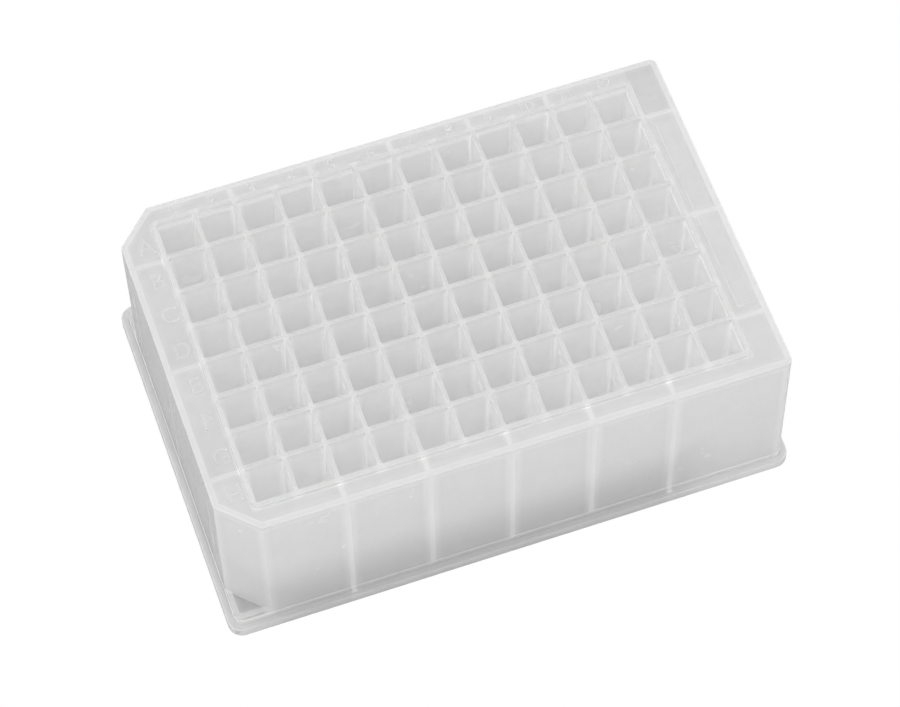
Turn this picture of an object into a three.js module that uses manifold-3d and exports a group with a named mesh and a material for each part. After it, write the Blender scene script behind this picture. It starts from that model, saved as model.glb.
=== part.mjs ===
// Deep-well plate: ninety-six square wells, twelve columns by eight rows, moulded in one shot
// of natural polypropylene.
//
// Millimetres, +Z up.  The origin is the centre of the footprint on the plane the flange stands
// on.  Columns run along +X, rows run along -Y, so the first well (row A, column 1) is at the
// left of the back edge.  The two corners beside column 1 are cut off: they tell which way
// round the plate lies.
//
// The moulding is a thin-walled tray turned upside down: an outer wall on a narrow flange, a
// flat deck closing its top, and the block of wells hanging from the deck.  Ribs tie the block
// to the outer wall.  Everything is open from below.

import * as THREE from 'three';
import { mergeVertices } from 'three/addons/utils/BufferGeometryUtils.js';
import Module from 'manifold-3d';

const wasm = await Module();
wasm.setup();

// ---------------------------------------------------------------- overall sizes
const PLATE_LENGTH = 127.76;        // over the flange, along X
const PLATE_WIDTH = 85.48;          // over the flange, along Y
const PLATE_HEIGHT = 43.2;          // from the standing plane to the rims of the wells

// ---------------------------------------------------------------- flange and outer wall
const FLANGE_HEIGHT = 2.4;          // standing plane to the top of the ledge
const FLANGE_WALL = 1.0;            // thickness of the flange's upright edge
const FLANGE_CORNER_RADIUS = 3.18;
const LEDGE_WIDTH = 1.66;           // from the outer wall to the edge of the flange
const LEDGE_THICKNESS = 1.2;
const FLANGE_EDGE = 0.35;           // softening of the flange's upper edge
const STACKING_PAD_DROP = 0.5;      // pads under the ledge that the next plate's deck meets
const STACKING_PAD_WIDTH = 0.9;

const WALL = 1.4;                   // outer wall
const BODY_CORNER_RADIUS = 1.5;     // the two upright corners beside the last column
const CORNER_CHAMFER = 7.9;         // the two cut corners beside column 1
const BODY_EDGE = 0.4;              // softening round the deck
const PARTING_HEIGHT = 3.65;        // the foot of the wall stands out below the parting line
const PARTING_STEP = 0.15;

// ---------------------------------------------------------------- low blocks under the cut corners
const CORNER_BLOCK_HEIGHT = 5.0;
const CORNER_BLOCK_RADIUS = 2.0;
const CORNER_BLOCK_WALL = 1.3;
const CORNER_POCKET_DEPTH = 1.4;

// ---------------------------------------------------------------- deck
const RIM_RISE = 1.1;               // the rims stand this much above the deck
const DECK_THICKNESS = 1.0;
const GATE_PAD_LENGTH = 2.9;        // thicker spot under the deck, behind column 1
const GATE_PAD_WIDTH = 2.4;
const GATE_PAD_DEPTH = 0.7;
const GATE_PAD_OFFSET = 1.1;        // from the column's middle towards column 2
const GATE_PAD_END_RADIUS = 1.1;

// ---------------------------------------------------------------- wells
const COLUMNS = 12;
const ROWS = 8;
const WELL_PITCH = 9.0;
const RIM_WIDTH = 0.95;             // top of the wall between two wells
const OUTER_RIM_WIDTH = 1.15;       // top of the wall round the whole block
const OUTER_RIM_RADIUS = 1.3;
const RIM_EDGE = 0.25;              // softening of every rim
const WELL_DRAFT = 0.45;            // each side of a well draws in this much on the way down
const WELL_CORNER_RADIUS = 0.6;
const WELL_CORNER_STEPS = 2;
const WELL_BOTTOM_HEIGHT = 4.7;     // standing plane to the lowest point inside a well
const WELL_POINT_DEPTH = 3.5;       // height of the pyramid that a well ends in
const WELL_POINT_HALF = 0.5;        // half width of the small flat at its tip

// ---------------------------------------------------------------- underside of the well block
const BLOCK_DRAFT = 0.35;           // the block draws in this much towards its lower end
const FLOOR_THICKNESS = 1.2;        // between the tips of the inner and the outer pyramid
const OUTER_POINT_HALF = 1.0;
const GROOVE_WIDTH = 0.4;           // flat between two neighbouring outer pyramids
const GROOVE_RISE = 3.9;            // from the outer tips up to that flat

// ---------------------------------------------------------------- ribs
const LONG_SIDE_RIBS = [2, 4, 6, 8, 10];     // after these columns, on both long sides
const SHORT_SIDE_RIBS = [1, 4, 7];           // after these rows, on both short sides
const DEEP_RIBS = [2, 10];                   // the ribs that end in a stacking pad
const RIB_TOP_WIDTH = 1.3;
const RIB_BOTTOM_WIDTH = 0.9;

const ROUND_STEPS = 6;              // straight steps in a quarter circle of an outline
const OVERCUT = 1.0;                // how far a cutter runs past the face it opens
const EMBED = 0.3;                  // how far a joined solid reaches into its neighbour
const WELD_DISTANCE = 1e-5;         // corners closer than this become one
const SAME_POINT = 1e-6;            // two corners of a triangle closer than this leave no triangle

// ---------------------------------------------------------------- sizes that follow
const BODY_LENGTH = PLATE_LENGTH - 2 * LEDGE_WIDTH;
const BODY_WIDTH = PLATE_WIDTH - 2 * LEDGE_WIDTH;
const DECK_HEIGHT = PLATE_HEIGHT - RIM_RISE;
const DECK_UNDERSIDE = DECK_HEIGHT - DECK_THICKNESS;
const LEDGE_UNDERSIDE = FLANGE_HEIGHT - LEDGE_THICKNESS;

const WELL_HALF = (WELL_PITCH - RIM_WIDTH) / 2;
const WELL_FLOOR_HALF = WELL_HALF - WELL_DRAFT;
const WELL_FLOOR_HEIGHT = WELL_BOTTOM_HEIGHT + WELL_POINT_DEPTH;

const BLOCK_LENGTH = (COLUMNS - 1) * WELL_PITCH + 2 * (WELL_HALF + OUTER_RIM_WIDTH);
const BLOCK_WIDTH = (ROWS - 1) * WELL_PITCH + 2 * (WELL_HALF + OUTER_RIM_WIDTH);
const OUTER_POINT_HEIGHT = WELL_BOTTOM_HEIGHT - FLOOR_THICKNESS;
const GROOVE_HEIGHT = OUTER_POINT_HEIGHT + GROOVE_RISE;

const wellX = (column) => (column - (COLUMNS + 1) / 2) * WELL_PITCH;
const wellY = (row) => ((ROWS + 1) / 2 - row) * WELL_PITCH;
const afterColumn = (column) => (wellX(column) + wellX(column + 1)) / 2;
const afterRow = (row) => (wellY(row) + wellY(row + 1)) / 2;

// ================================================================ solids
// A closed geometry whose shared corners are merged becomes a solid.
function toSolid(geometry) {
  const bare = geometry.index ? geometry.toNonIndexed() : geometry.clone();
  bare.deleteAttribute('normal');
  bare.deleteAttribute('uv');
  const welded = mergeVertices(bare, WELD_DISTANCE);
  return new wasm.Manifold(new wasm.Mesh({
    numProp: 3,
    vertProperties: new Float32Array(welded.attributes.position.array),
    triVerts: new Uint32Array(welded.index.array),
  }));
}

function toGeometry(solid) {
  const mesh = solid.getMesh();
  const geometry = new THREE.BufferGeometry();
  geometry.setAttribute('position', new THREE.BufferAttribute(new Float32Array(mesh.vertProperties), 3));
  geometry.setIndex(new THREE.BufferAttribute(new Uint32Array(mesh.triVerts), 1));
  geometry.computeVertexNormals();
  return geometry;
}

// Joins by halves, so that many small solids join quickly.
function joinAll(solids) {
  if (solids.length === 1) {
    return solids[0];
  }
  const middle = Math.floor(solids.length / 2);
  return joinAll(solids.slice(0, middle)).add(joinAll(solids.slice(middle)));
}

// ================================================================ outlines
// An outline is a list of Vector2, counter-clockwise.  corners tells what each corner has:
// { radius } rounds it and { chamfer } cuts it straight.  inset moves every side inwards.
// Their order: right back, left back, left front, right front.
function outline(length, width, corners, inset = 0) {
  const halfLength = length / 2 - inset;
  const halfWidth = width / 2 - inset;
  const points = [];
  corners.forEach((corner, index) => {
    const signX = index === 0 || index === 3 ? 1 : -1;
    const signY = index < 2 ? 1 : -1;
    const startAngle = index * Math.PI / 2;
    if (corner.chamfer) {
      // the slanting side moves in by inset too, so less is left to cut
      const cut = corner.chamfer - inset * (2 - Math.SQRT2);
      const onLongSide = new THREE.Vector2(signX * (halfLength - cut), signY * halfWidth);
      const onShortSide = new THREE.Vector2(signX * halfLength, signY * (halfWidth - cut));
      points.push(...(signX * signY > 0 ? [onShortSide, onLongSide] : [onLongSide, onShortSide]));
      return;
    }
    const radius = Math.max(corner.radius - inset, 0);
    const steps = corner.steps ?? ROUND_STEPS;
    for (let step = 0; step <= steps; step += 1) {
      const angle = startAngle + step / steps * Math.PI / 2;
      points.push(new THREE.Vector2(
        signX * (halfLength - radius) + radius * Math.cos(angle),
        signY * (halfWidth - radius) + radius * Math.sin(angle),
      ));
    }
  });
  return points;
}

const allRound = (radius, steps) => Array(4).fill({ radius, steps });

const BODY_CORNERS = [
  { radius: BODY_CORNER_RADIUS },
  { chamfer: CORNER_CHAMFER },
  { chamfer: CORNER_CHAMFER },
  { radius: BODY_CORNER_RADIUS },
];
const FOOT_CORNERS = [
  { radius: BODY_CORNER_RADIUS },
  { radius: CORNER_BLOCK_RADIUS },
  { radius: CORNER_BLOCK_RADIUS },
  { radius: BODY_CORNER_RADIUS },
];

const bodyOutline = (inset) => outline(BODY_LENGTH, BODY_WIDTH, BODY_CORNERS, inset);
const footOutline = (inset) => outline(BODY_LENGTH, BODY_WIDTH, FOOT_CORNERS, inset);
const flangeOutline = (inset) => outline(PLATE_LENGTH, PLATE_WIDTH, allRound(FLANGE_CORNER_RADIUS), inset);
const blockOutline = (inset) => outline(BLOCK_LENGTH, BLOCK_WIDTH, allRound(OUTER_RIM_RADIUS), inset);

// Extrudes an outline between two heights.
function prism(points, bottom, top) {
  const geometry = new THREE.ExtrudeGeometry(new THREE.Shape(points), {
    depth: top - bottom,
    bevelEnabled: false,
  });
  geometry.translate(0, 0, bottom);
  return toSolid(geometry);
}

// Joins outlines of equal point count, each at its own height, into one closed solid.
// levels: [{ height, points }, ...] from the bottom up; every outline is convex.
function loft(levels) {
  const positions = [];
  const apart = (a, b) => a.distanceTo(b) > SAME_POINT;
  const addTriangle = (a, b, c) => {
    if (apart(a, b) && apart(b, c) && apart(c, a)) {
      positions.push(...a.toArray(), ...b.toArray(), ...c.toArray());
    }
  };
  const rings = levels.map(({ height, points }) => points.map((p) => new THREE.Vector3(p.x, p.y, height)));
  const count = rings[0].length;
  for (let level = 0; level < rings.length - 1; level += 1) {
    const lower = rings[level];
    const upper = rings[level + 1];
    for (let i = 0; i < count; i += 1) {
      const j = (i + 1) % count;
      addTriangle(lower[i], lower[j], upper[j]);
      addTriangle(lower[i], upper[j], upper[i]);
    }
  }
  const bottomRing = rings[0];
  const topRing = rings[rings.length - 1];
  for (let i = 1; i < count - 1; i += 1) {
    addTriangle(bottomRing[0], bottomRing[i + 1], bottomRing[i]);
    addTriangle(topRing[0], topRing[i], topRing[i + 1]);
  }
  const geometry = new THREE.BufferGeometry();
  geometry.setAttribute('position', new THREE.Float32BufferAttribute(positions, 3));
  return geometry;
}

// ================================================================ outer shell
function makeFlange() {
  return toSolid(loft([
    { height: 0, points: flangeOutline(0) },
    { height: FLANGE_HEIGHT - FLANGE_EDGE, points: flangeOutline(0) },
    { height: FLANGE_HEIGHT, points: flangeOutline(FLANGE_EDGE) },
  ]));
}

// The outer wall with its cut corners, filled up to the deck.
function makeBody() {
  return toSolid(loft([
    { height: 0, points: bodyOutline(0) },
    { height: DECK_HEIGHT - BODY_EDGE, points: bodyOutline(0) },
    { height: DECK_HEIGHT, points: bodyOutline(BODY_EDGE) },
  ]));
}

// Below the parting line the wall stands out a little, all the way round.
function makeFoot() {
  return prism(footOutline(-PARTING_STEP), 0, PARTING_HEIGHT);
}

// The low blocks that fill the two cut corners: an upright edge round a shallow pocket.
function makeCornerBlocks() {
  const block = prism(footOutline(0), 0, CORNER_BLOCK_HEIGHT);
  const pocket = prism(
    footOutline(CORNER_BLOCK_WALL),
    CORNER_BLOCK_HEIGHT - CORNER_POCKET_DEPTH,
    CORNER_BLOCK_HEIGHT + OVERCUT,
  );
  return block.subtract(pocket);
}

// ================================================================ well block
function placedLoft(levels, x, y) {
  return toSolid(loft(levels).translate(x, y, 0));
}

// A square with rounded corners.  Without a radius its corner points run together, and their
// number stays the same.
const squareOutline = (half, radius = 0) => outline(
  2 * half,
  2 * half,
  allRound(radius, WELL_CORNER_STEPS),
);

// The space inside one well, from the tip of its pyramid up through the rim.
function makeWellSpace(x, y) {
  const mouth = squareOutline(WELL_HALF + RIM_EDGE, WELL_CORNER_RADIUS + RIM_EDGE);
  return placedLoft([
    { height: WELL_BOTTOM_HEIGHT, points: squareOutline(WELL_POINT_HALF) },
    { height: WELL_FLOOR_HEIGHT, points: squareOutline(WELL_FLOOR_HALF, WELL_CORNER_RADIUS) },
    { height: PLATE_HEIGHT - RIM_EDGE, points: squareOutline(WELL_HALF, WELL_CORNER_RADIUS) },
    { height: PLATE_HEIGHT, points: mouth },
    { height: PLATE_HEIGHT + OVERCUT, points: mouth },
  ], x, y);
}

// The outside of one well's pointed bottom, under the block.
function makeOuterPoint(x, y) {
  const baseHalf = (WELL_PITCH - GROOVE_WIDTH) / 2;
  const slope = (baseHalf - OUTER_POINT_HALF) / GROOVE_RISE;
  return placedLoft([
    { height: OUTER_POINT_HEIGHT, points: squareOutline(OUTER_POINT_HALF) },
    { height: GROOVE_HEIGHT + EMBED, points: squareOutline(baseHalf + slope * EMBED) },
  ], x, y);
}

function forEachWell(make) {
  const solids = [];
  for (let row = 1; row <= ROWS; row += 1) {
    for (let column = 1; column <= COLUMNS; column += 1) {
      solids.push(make(wellX(column), wellY(row)));
    }
  }
  return solids;
}

function makeBlock() {
  const mass = toSolid(loft([
    { height: GROOVE_HEIGHT, points: blockOutline(BLOCK_DRAFT) },
    { height: DECK_HEIGHT, points: blockOutline(0) },
    { height: PLATE_HEIGHT - RIM_EDGE, points: blockOutline(0) },
    { height: PLATE_HEIGHT, points: blockOutline(RIM_EDGE) },
  ]));
  return mass.add(joinAll(forEachWell(makeOuterPoint)));
}

// ================================================================ ribs
// A rib between the block and the outer wall, thinner towards its lower edge.
// It stands at `along` on the side whose outward direction is `angle`.
function makeRib(along, reachIn, reachOut, angle) {
  const section = (width) => [
    new THREE.Vector2(reachIn, -width / 2),
    new THREE.Vector2(reachOut, -width / 2),
    new THREE.Vector2(reachOut, width / 2),
    new THREE.Vector2(reachIn, width / 2),
  ];
  const geometry = loft([
    { height: PARTING_HEIGHT, points: section(RIB_BOTTOM_WIDTH) },
    { height: DECK_UNDERSIDE + EMBED, points: section(RIB_TOP_WIDTH) },
  ]);
  geometry.translate(0, along, 0);
  geometry.rotateZ(angle);
  return toSolid(geometry);
}

function makeRibs() {
  const ribs = [];
  const longReachIn = BLOCK_WIDTH / 2 - OUTER_RIM_WIDTH;
  const longReachOut = BODY_WIDTH / 2 - WALL / 2;
  const shortReachIn = BLOCK_LENGTH / 2 - OUTER_RIM_WIDTH;
  const shortReachOut = BODY_LENGTH / 2 - WALL / 2;
  for (const column of LONG_SIDE_RIBS) {
    const x = afterColumn(column);
    ribs.push(makeRib(-x, longReachIn, longReachOut, Math.PI / 2));
    ribs.push(makeRib(x, longReachIn, longReachOut, -Math.PI / 2));
  }
  for (const row of SHORT_SIDE_RIBS) {
    const y = afterRow(row);
    ribs.push(makeRib(y, shortReachIn, shortReachOut, 0));
    ribs.push(makeRib(-y, shortReachIn, shortReachOut, Math.PI));
  }
  return joinAll(ribs);
}

// Pads under the ledge, in line with the outer ribs of the long sides.
function makeStackingPads() {
  const pads = [];
  const reach = LEDGE_WIDTH + WALL;
  for (const column of DEEP_RIBS) {
    for (const side of [1, -1]) {
      const pad = new THREE.BoxGeometry(STACKING_PAD_WIDTH, reach, STACKING_PAD_DROP + EMBED);
      pad.translate(
        afterColumn(column),
        side * (PLATE_WIDTH / 2 - FLANGE_WALL / 2 - reach / 2),
        LEDGE_UNDERSIDE - STACKING_PAD_DROP / 2 + EMBED / 2,
      );
      pads.push(toSolid(pad));
    }
  }
  return joinAll(pads);
}

// The thicker spot that the plastic enters through, midway between the block and the back wall.
function makeGatePad() {
  const points = outline(GATE_PAD_LENGTH, GATE_PAD_WIDTH, allRound(GATE_PAD_END_RADIUS));
  const place = new THREE.Vector2(
    wellX(1) + GATE_PAD_OFFSET,
    (BLOCK_WIDTH / 2 + BODY_WIDTH / 2 - WALL) / 2,
  );
  return prism(
    points.map((point) => point.add(place)),
    DECK_UNDERSIDE - GATE_PAD_DEPTH,
    DECK_UNDERSIDE + EMBED,
  );
}

// ================================================================ the open space under the moulding
function makeHollow(block) {
  const underFlange = prism(flangeOutline(FLANGE_WALL), -OVERCUT, LEDGE_UNDERSIDE);
  const underDeck = prism(bodyOutline(WALL), 0, DECK_UNDERSIDE);
  const underCorners = prism(
    footOutline(WALL),
    0,
    CORNER_BLOCK_HEIGHT - CORNER_POCKET_DEPTH - LEDGE_THICKNESS,
  );
  return underDeck
    .add(underCorners)
    .subtract(block)
    .subtract(makeRibs())
    .subtract(makeGatePad())
    .add(underFlange.subtract(makeStackingPads()));
}

function makeWellPlate() {
  const block = makeBlock();
  const filled = makeFlange()
    .add(makeFoot())
    .add(makeCornerBlocks())
    .add(makeBody())
    .add(block);
  return filled
    .subtract(makeHollow(block))
    .subtract(joinAll(forEachWell(makeWellSpace)));
}

// ================================================================ scene graph
const naturalPolypropylene = new THREE.MeshStandardMaterial({
  name: 'natural_polypropylene',
  color: 0xdfe1de,
  roughness: 0.35,
  metalness: 0.0,
});

const wellPlate = new THREE.Mesh(toGeometry(makeWellPlate()), naturalPolypropylene);
wellPlate.name = 'well_plate';

const part = new THREE.Group();
part.name = 'deep_well_plate';
part.add(wellPlate);

export default part;
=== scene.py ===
import math
from functools import reduce

import bmesh
import bpy
from bpy.props import FloatProperty, FloatVectorProperty, IntProperty, IntVectorProperty
from bpy.props import PointerProperty, StringProperty
from bpy.types import Operator, Panel, PropertyGroup
from mathutils import Matrix, Vector


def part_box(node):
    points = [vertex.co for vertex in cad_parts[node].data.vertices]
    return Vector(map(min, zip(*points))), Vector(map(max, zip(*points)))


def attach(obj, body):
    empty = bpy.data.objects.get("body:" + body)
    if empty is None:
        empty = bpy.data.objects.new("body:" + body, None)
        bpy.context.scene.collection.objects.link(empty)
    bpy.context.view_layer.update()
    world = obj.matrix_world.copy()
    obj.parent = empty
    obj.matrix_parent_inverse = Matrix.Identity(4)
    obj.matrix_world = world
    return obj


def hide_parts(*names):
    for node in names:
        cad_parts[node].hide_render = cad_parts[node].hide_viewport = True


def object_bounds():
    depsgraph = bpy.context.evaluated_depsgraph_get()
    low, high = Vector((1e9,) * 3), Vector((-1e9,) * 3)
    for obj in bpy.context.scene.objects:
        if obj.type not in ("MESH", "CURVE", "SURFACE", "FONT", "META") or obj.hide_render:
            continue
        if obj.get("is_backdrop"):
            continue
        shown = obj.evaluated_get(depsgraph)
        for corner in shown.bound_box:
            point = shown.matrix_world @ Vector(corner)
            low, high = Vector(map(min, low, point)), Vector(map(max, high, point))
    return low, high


bl_info = {
    "name": "Deep-well plate",
    "version": (1, 0, 0),
    "blender": (4, 5, 0),
    "location": "3D View > Sidebar > Well Plate",
    "description": "Builds a ninety-six-well deep plate of natural polypropylene and its studio",
    "category": "Add Mesh",
}

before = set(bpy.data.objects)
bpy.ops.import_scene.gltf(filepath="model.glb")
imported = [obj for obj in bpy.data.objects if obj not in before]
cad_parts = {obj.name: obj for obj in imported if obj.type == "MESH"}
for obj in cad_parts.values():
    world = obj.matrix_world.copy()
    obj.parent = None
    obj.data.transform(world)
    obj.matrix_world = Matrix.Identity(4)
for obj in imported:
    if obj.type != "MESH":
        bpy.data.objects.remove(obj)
CAD_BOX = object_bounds()
NODE = "well_plate"
NODE_LOW, NODE_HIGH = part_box(NODE)
MM = 0.001
OVERCUT = 1.0 * MM  # how far a cutter runs past the face it opens
EMBED = 0.3 * MM  # how far a joined solid reaches into its neighbour


# ---- settings
def amount(name, default, description, low=0.0, **settings):
    return FloatProperty(name=name, description=description, default=default, min=low, **settings)


def length(name, millimetres, description):
    """A size in metres, given here in millimetres."""
    return amount(name, millimetres * MM, description, precision=5, unit="LENGTH")


def share(name, default, description):
    return amount(name, default, description, max=1.0, subtype="FACTOR")


def angle(name, degrees, description):
    return amount(name, math.radians(degrees), description, -math.pi, subtype="ANGLE")


def colour(name, default, description):
    return FloatVectorProperty(
        name=name, description=description, default=default, min=0.0, max=1.0, subtype="COLOR"
    )


def numbers(name, default, description):
    return IntVectorProperty(
        name=name, description=description, default=default, size=len(default), min=1
    )


class PlateShell(PropertyGroup):
    """The outer wall, the flange, the deck and the low corner blocks"""

    length: length("Length", (NODE_HIGH.x - NODE_LOW.x) / MM, "Over the flange, along X")
    width: length("Width", (NODE_HIGH.y - NODE_LOW.y) / MM, "Over the flange, along Y")
    height: length("Height", (NODE_HIGH.z - NODE_LOW.z) / MM, "From the standing plane to the rims")
    flange_height: length("Flange height", 2.4, "Standing plane to the top of the ledge")
    flange_wall: length("Flange wall", 1.0, "Thickness of the flange's upright edge")
    flange_corner: length("Flange corner", 3.18, "Radius of the flange's corners")
    flange_edge: length("Flange edge", 0.35, "Rounding of the flange's upper edge")
    flange_foot_edge: length("Flange foot edge", 0.12, "Rounding of the edge the plate stands on")
    ledge_width: length("Ledge width", 1.66, "From the outer wall to the edge of the flange")
    ledge_thickness: length("Ledge thickness", 1.2, "Thickness of the ledge")
    pad_drop: length("Stacking pad drop", 0.5, "How far the pads hang below the ledge")
    pad_width: length("Stacking pad width", 0.9, "Width of a stacking pad")
    pad_corner: length("Stacking pad corner", 0.1, "Radius of its upright corners")
    wall: length("Wall", 1.4, "Thickness of the outer wall")
    body_corner: length("Body corner", 1.5, "Radius of the corners beside column 12")
    corner_chamfer: length("Cut corner", 7.9, "Cut off each side at the corners beside column 1")
    chamfer_edge: length("Cut corner edge", 0.7, "Rounding of its upright edges")
    body_edge: length("Deck edge", 0.4, "Rounding of the edge round the deck")
    parting_height: length("Parting line", 3.65, "Height of the parting line")
    parting_step: length("Parting step", 0.15, "How far the wall stands out below it")
    parting_edge: length("Parting edge", 0.1, "Rounding of that step")
    block_height: length("Corner block height", 5.0, "Height of the low blocks in the cut corners")
    block_corner: length("Corner block corner", 2.0, "Radius of their outer corner")
    block_wall: length("Corner block wall", 1.3, "Thickness of the edge round their pocket")
    block_edge: length("Corner block edge", 0.25, "Rounding of that edge")
    pocket_depth: length("Corner pocket depth", 1.4, "Depth of the pocket in a corner block")
    deck_thickness: length("Deck thickness", 1.0, "Thickness of the deck")
    inner_fillet: length("Inner fillet", 0.35, "Fillet between the deck's underside and the wall")


class PlateWells(PropertyGroup):
    """The wells, their rims and their pointed bottoms"""

    columns: IntProperty(name="Columns", description="Wells along X", default=12, min=1)
    rows: IntProperty(name="Rows", description="Wells along Y", default=8, min=1)
    pitch: length("Pitch", 9.0, "From the middle of one well to the next")
    rim_rise: length("Rim rise", 1.1, "Rims above the deck")
    rim_width: length("Rim width", 0.95, "Top of the wall between two wells")
    outer_rim_width: length("Outer rim width", 1.15, "Top of the wall round the block of wells")
    outer_rim_corner: length("Outer rim corner", 1.3, "Radius of the block's upright corners")
    rim_edge: length("Rim edge", 0.15, "Rounding of every rim")
    rim_foot: length("Rim foot", 0.2, "Fillet between the block and the deck")
    draft: length("Draft", 0.45, "How far each side draws in on the way down")
    corner: length("Well corner", 0.3, "Radius of a well's upright corners")
    bottom_height: length("Bottom height", 4.7, "Standing plane to the lowest point inside a well")
    point_depth: length("Point depth", 3.5, "Height of the pyramid a well ends in")
    point_half: length("Point half width", 0.5, "Half the width of the flat at its tip")
    point_corner: length("Point corner", 0.4, "Radius of that flat's corners")
    floor_fillet: length("Floor fillet", 0.9, "Bend between a well's side and its pyramid")
    block_draft: length("Block draft", 0.35, "How far the block draws in on the way down")
    floor_thickness: length("Floor thickness", 1.2, "From the inner tip to the outer one")
    outer_point_half: length("Outer point half width", 1.0, "Half the flat below a well")
    groove_width: length("Groove width", 0.4, "Flat between two neighbouring outer pyramids")
    groove_rise: length("Groove rise", 3.9, "From the outer tips up to that flat")


class PlateRibs(PropertyGroup):
    """The ribs between the block of wells and the outer wall"""

    after_columns: numbers("After columns", (2, 4, 6, 8, 10), "Ribs of the long sides")
    after_rows: numbers("After rows", (1, 4, 7), "Ribs of the short sides")
    with_pads: numbers("With pads", (2, 10), "Long side ribs over a stacking pad")
    top_width: length("Top width", 1.3, "Width of a rib at the deck")
    bottom_width: length("Bottom width", 0.9, "Width of a rib at its lower edge")
    flare: length("Flare", 0.45, "Fillet where a rib meets the block or the wall")


class PlateMarks(PropertyGroup):
    """The raised letters and numbers, the plain field and the gate pad on the deck"""

    rows_text: StringProperty(name="Row letters", description="From the back", default="ABCDEFGH")
    letter_height: length("Letter height", 3.85, "Height of a row letter")
    letter_x: length("Letter distance", 57.2, "From the plate's middle, along X")
    number_height: length("Number height", 2.75, "Height of a column number")
    number_y: length("Number distance", 38.2, "From the plate's middle, along Y")
    rise: length("Rise", 0.25, "Letters and numbers above the deck")
    letter_edge: length("Letter edge", 0.1, "Chamfer of their upper edge")
    field_low: length("Field inner edge", 56.1, "From the plate's middle, along X")
    field_high: length("Field outer edge", 60.2, "From the plate's middle, along X")
    field_half: length("Field half length", 24.6, "Half the field's length, along Y")
    field_rise: length("Field rise", 0.2, "Field above the deck")
    field_edge: length("Field edge", 0.15, "Rounding of the field's edge")
    field_corner: length("Field corner", 0.4, "Radius of the field's corners")
    gate_length: length("Gate pad length", 2.9, "Thicker spot under the deck behind column 1")
    gate_width: length("Gate pad width", 2.4, "Its width")
    gate_depth: length("Gate pad depth", 0.7, "How far it hangs below the deck")
    gate_offset: length("Gate pad offset", 1.1, "From the middle of column 1 towards column 2")
    gate_end: length("Gate pad end", 1.1, "Radius of its ends")


class PlateFinish(PropertyGroup):
    """Colour, clearness and texture of natural polypropylene, with the painted shade and painted
    highlights laid on it
    """

    colour: colour("Colour", (0.998, 0.998, 0.998), "Colour where the plastic is thick")
    shade: colour("Shade", (0.86, 0.86, 0.86), "Colour where the plastic is thin")
    milk: amount("Milkiness", 400.0, "Scattering inside the plastic, per metre")
    milk_colour: colour("Milk colour", (0.99, 0.99, 0.99), "Colour that the scattering keeps")
    haze: share("Haze", 0.3, "Share of light let through in all directions")
    body_thin: share("Thin body", 0.18, "Share of light that a thin place sends back")
    body_thick: share("Thick body", 0.6, "Share of light that a thick place sends back")
    body_reach: length("Body reach", 1.9, "Depth of plastic that counts as thick")
    thin_end: share("Thin end", 0.25, "Share of deep looks into a thin place")
    thick_end: share("Thick end", 0.85, "Share of deep looks into a thick place")
    rim_share: share("Inner rims", 0.65, "How much of that light shows in the inner rims")
    gloss_most: share("Most gloss", 0.14, "Most gloss of the wells, at a flat angle")
    # Painted shade: the foot of the plate is darker towards the bottom, fading out towards both
    # ends.
    foot_tone: share("Foot tone", 0.805, "How light the foot of the plate is beside its top")
    foot_low: length("Foot's dark end", 5.0, "Height where the foot's tone starts to fade")
    foot_high: length("Foot's light end", 24.0, "Height where it has faded out")
    foot_reach: length("Foot's reach", 38.0, "Half the length where the foot's tone is full")
    foot_end: length("Foot's end", 56.0, "Half the length where it has faded out")
    foot_shift: length("Foot's shift", 8.0, "How far it sits towards column 1")
    # Painted shade in the corner pockets.
    pocket_tone: share("Pocket tone", 0.7, "How light the corner pockets are beside the rest")
    # Painted shade on the deck's back corner panel.
    corner_tone: share("Corner tone", 0.93, "How light the deck's back corner by column 12 is")
    # Partly the whiteness of thick plastic at ribs and pads, partly a painted highlight along the
    # parting line.
    seam: share("Seam", 0.3, "Extra light from ribs, pads and the parting line")
    seam_blur: length("Seam blur", 0.18, "Softness of the sides of these lines")
    deck_seam: share("Deck seam", 0.6, "How much of a seam's light shows in the deck")
    deck_glow: share("Deck glow", 0.4, "How much light round a thick place shows in the deck")
    # A painted highlight along every outward edge.
    edge: share("Edge", 0.4, "Extra light that every outward edge sends back")
    edge_reach: length("Edge reach", 0.25, "How far from an edge that light shows")
    body_plain: share("Even body", 0.13, "Share of light sent back inside the plate")
    roughness: share("Roughness", 0.25, "Roughness of the moulded surface")
    ior: amount("IOR", 1.49, "Index of refraction of the plastic")
    cloud_size: length("Cloud size", 9.0, "Size of the slight changes of density")
    cloud_depth: share("Cloud depth", 0.25, "How far they change the haze and the gloss")
    grain_size: length("Grain size", 0.35, "Size of the moulded grain")
    grain_height: length("Grain height", 0.004, "Height of the moulded grain")


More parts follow.
